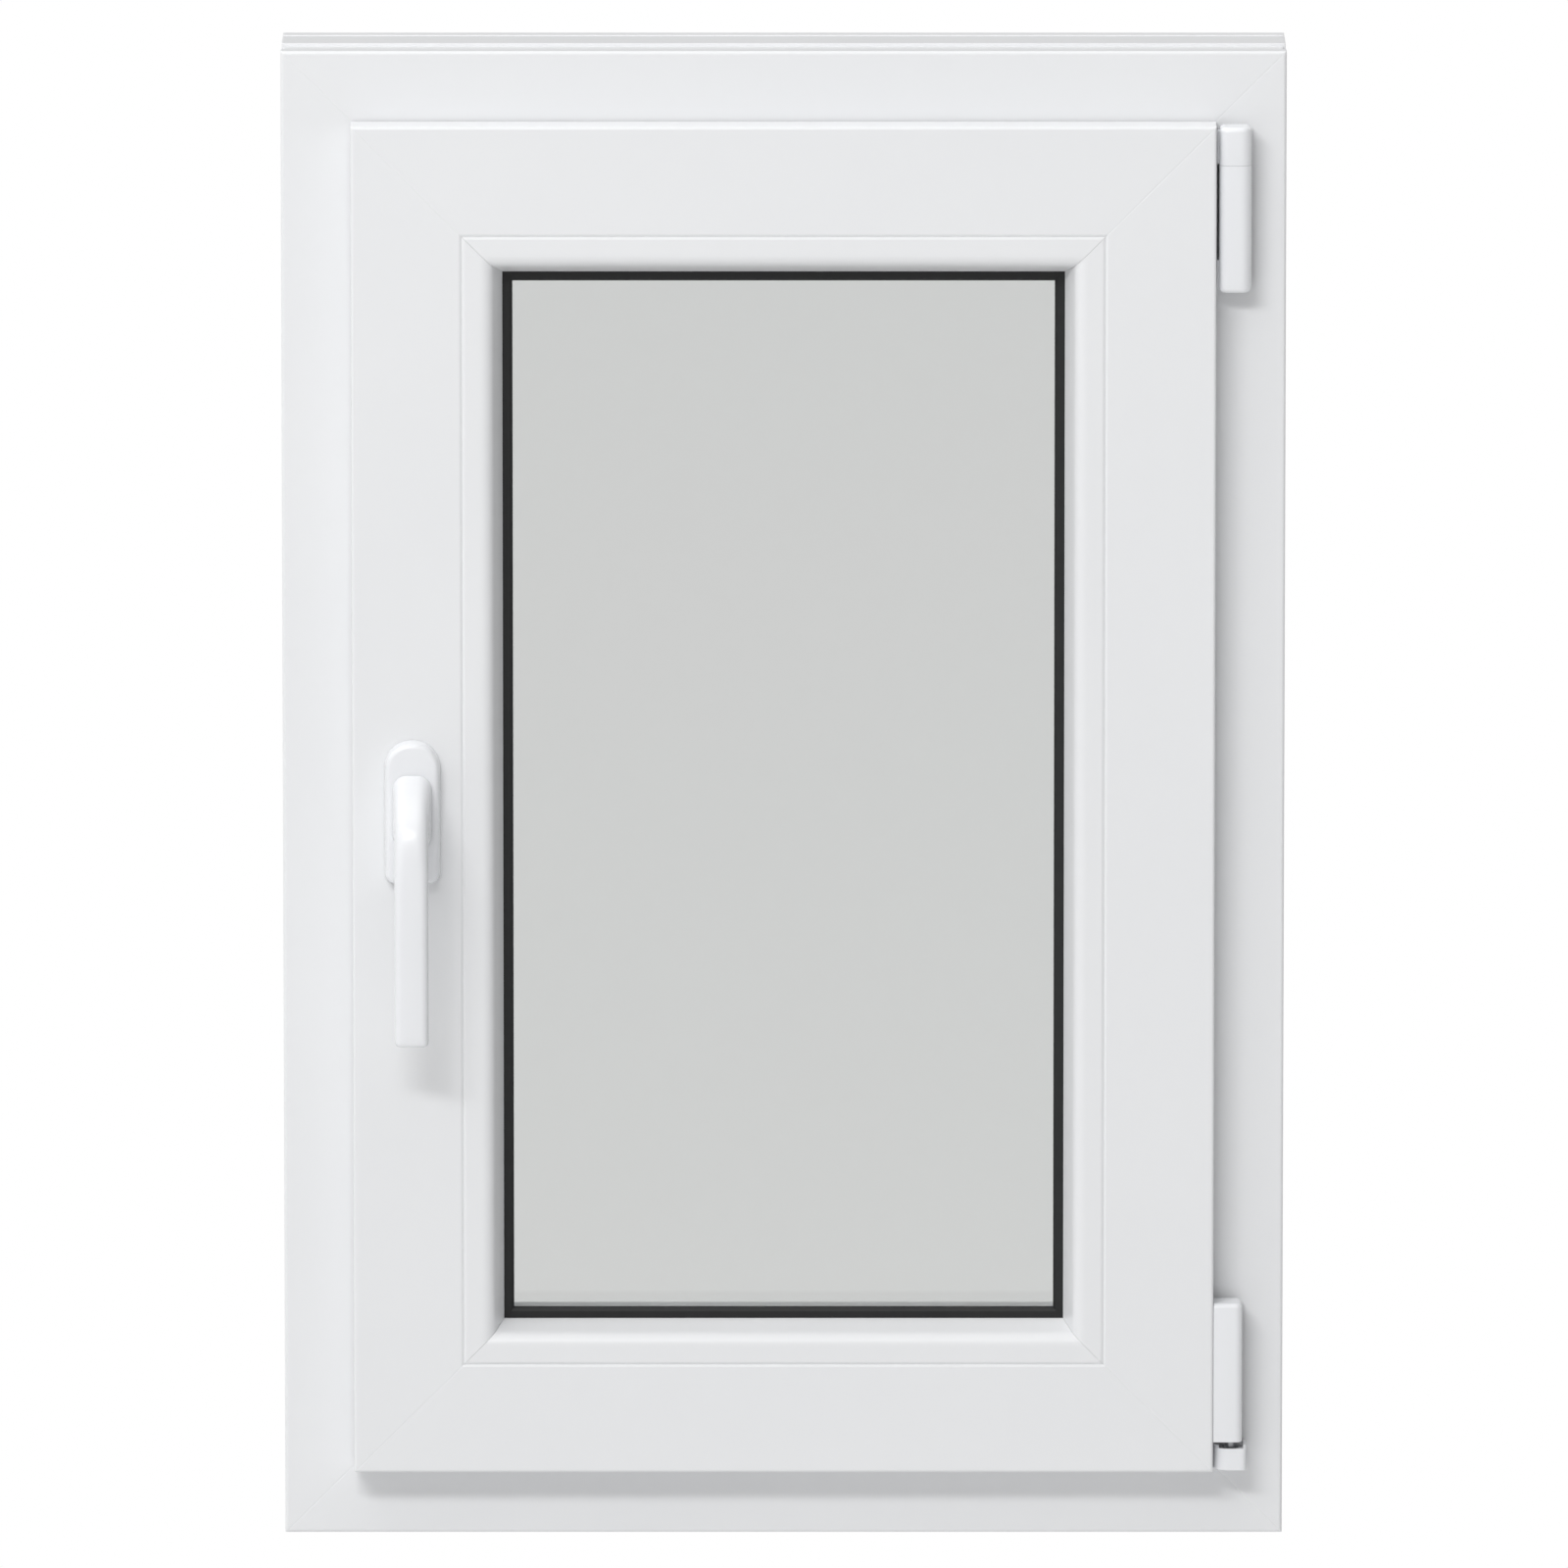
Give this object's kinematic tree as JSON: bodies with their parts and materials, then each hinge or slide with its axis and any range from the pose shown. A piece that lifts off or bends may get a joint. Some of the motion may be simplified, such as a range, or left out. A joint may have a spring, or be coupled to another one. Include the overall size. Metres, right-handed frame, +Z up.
{
  "type": "casement window",
  "caption": "White plastic tilt-and-turn window: an outer frame and one glazed sash that swings inwards on a side hinge or tilts in at the top, with a lever handle.",
  "frame": {"origin": "middle of the frame's underside, at half the frame's depth", "axes": "+Z up; -Y towards the room, where the handle and hinges show; +X towards the hinges"},
  "size_m": [0.5, 0.1465, 0.75],
  "materials": {
    "white_profile": "satin white plastic profile",
    "white_cover": "smooth white coating",
    "black_gasket": "matt black gasket",
    "grey_seal": "grey soft seal",
    "zinc_hardware": "zinc plated",
    "galvanised_steel": "galvanised",
    "spacer_grey": "grey spacer bar",
    "setting_block": "moulded packer",
    "clear_glass": "clear float glass"
  },
  "bodies": {
    "frame": {"frame_sill": "white_profile", "frame_head": "white_profile", "frame_jamb_left": "white_profile", "frame_jamb_right": "white_profile", "frame_steel_left": "galvanised_steel", "frame_steel_right": "galvanised_steel", "frame_gasket": "black_gasket", "striker_side_lower": "zinc_hardware", "striker_side_upper": "zinc_hardware", "striker_top": "zinc_hardware", "striker_bottom": "zinc_hardware", "drain_cover_left": "white_profile", "drain_cover_right": "white_profile", "corner_bracket": "white_cover", "top_bearing": "galvanised_steel", "top_bearing_pin": "zinc_hardware", "top_bearing_cover": "white_cover"},
    "pivot": {"pivot_bush": "zinc_hardware"},
    "stay": {"stay_arm": "zinc_hardware", "stay_cap": "white_cover"},
    "sash": {"sash_rail_bottom": "white_profile", "sash_rail_top": "white_profile", "sash_stile_left": "white_profile", "sash_stile_right": "white_profile", "bead_left": "white_profile", "bead_right": "white_profile", "bead_top": "white_profile", "bead_bottom": "white_profile", "corner_hinge_cover": "white_cover", "rosette_cap": "white_cover", "glass_edge_seal": "black_gasket", "glazing_gasket_inner": "black_gasket", "glazing_gasket_outer": "black_gasket", "sash_seal": "grey_seal", "corner_hinge": "zinc_hardware", "corner_hinge_pin": "zinc_hardware", "stay_guide": "zinc_hardware", "gear_faceplate": "zinc_hardware", "corner_drive_top": "zinc_hardware", "corner_drive_bottom": "zinc_hardware", "rosette_base": "zinc_hardware", "rosette_screw_lower": "zinc_hardware", "rosette_screw_upper": "zinc_hardware", "sash_steel_left": "galvanised_steel", "sash_steel_right": "galvanised_steel", "gear_case": "galvanised_steel", "gear_lid": "galvanised_steel", "glass_spacer": "spacer_grey", "setting_block_left": "setting_block", "setting_block_right": "setting_block", "setting_block_hinge": "setting_block", "setting_block_lock": "setting_block", "pane_inner": "clear_glass", "pane_outer": "clear_glass"},
    "handle": {"lever": "white_cover", "spindle": "galvanised_steel", "drive_pinion": "zinc_hardware"},
    "side_rail": {"side_drive_rail": "zinc_hardware"},
    "top_rail": {"top_drive_rail": "zinc_hardware"},
    "bottom_rail": {"bottom_drive_rail": "zinc_hardware"}
  },
  "joints": [
    {"name": "sash_turn", "type": "hinge", "parent": "frame", "child": "pivot", "pos_m": [0.224, -0.046, 0.04], "axis": [0, 0, 1], "range_deg": [0, 95]},
    {"name": "sash_tilt", "type": "hinge", "parent": "pivot", "child": "sash", "pos_m": [0.224, -0.046, 0.04], "axis": [1, 0, 0], "range_deg": [0, 7]},
    {"name": "stay_swing", "type": "hinge", "parent": "pivot", "child": "stay", "pos_m": [0.224, -0.046, 0.7], "axis": [0, 0, 1], "range_deg": [0, 17]},
    {"name": "handle_turn", "type": "hinge", "parent": "sash", "child": "handle", "pos_m": [-0.185, -0.057, 0.3708], "axis": [0, -1, 0], "range_deg": [0, 180]},
    {"name": "side_rail_slide", "type": "slide", "parent": "sash", "child": "side_rail", "axis": [0, 0, -1], "range_m": [0, 0.0232]},
    {"name": "top_rail_slide", "type": "slide", "parent": "sash", "child": "top_rail", "axis": [-1, 0, 0], "range_m": [0, 0.0232]},
    {"name": "bottom_rail_slide", "type": "slide", "parent": "sash", "child": "bottom_rail", "axis": [1, 0, 0], "range_m": [0, 0.0232]}
  ],
  "couplings": [
    {"joint": "stay_swing", "follows": "sash_tilt", "ratio": 2.388},
    {"joint": "side_rail_slide", "follows": "handle_turn", "m_per_rad": 0.0073},
    {"joint": "top_rail_slide", "follows": "handle_turn", "m_per_rad": 0.0073},
    {"joint": "bottom_rail_slide", "follows": "handle_turn", "m_per_rad": 0.0073}
  ]
}
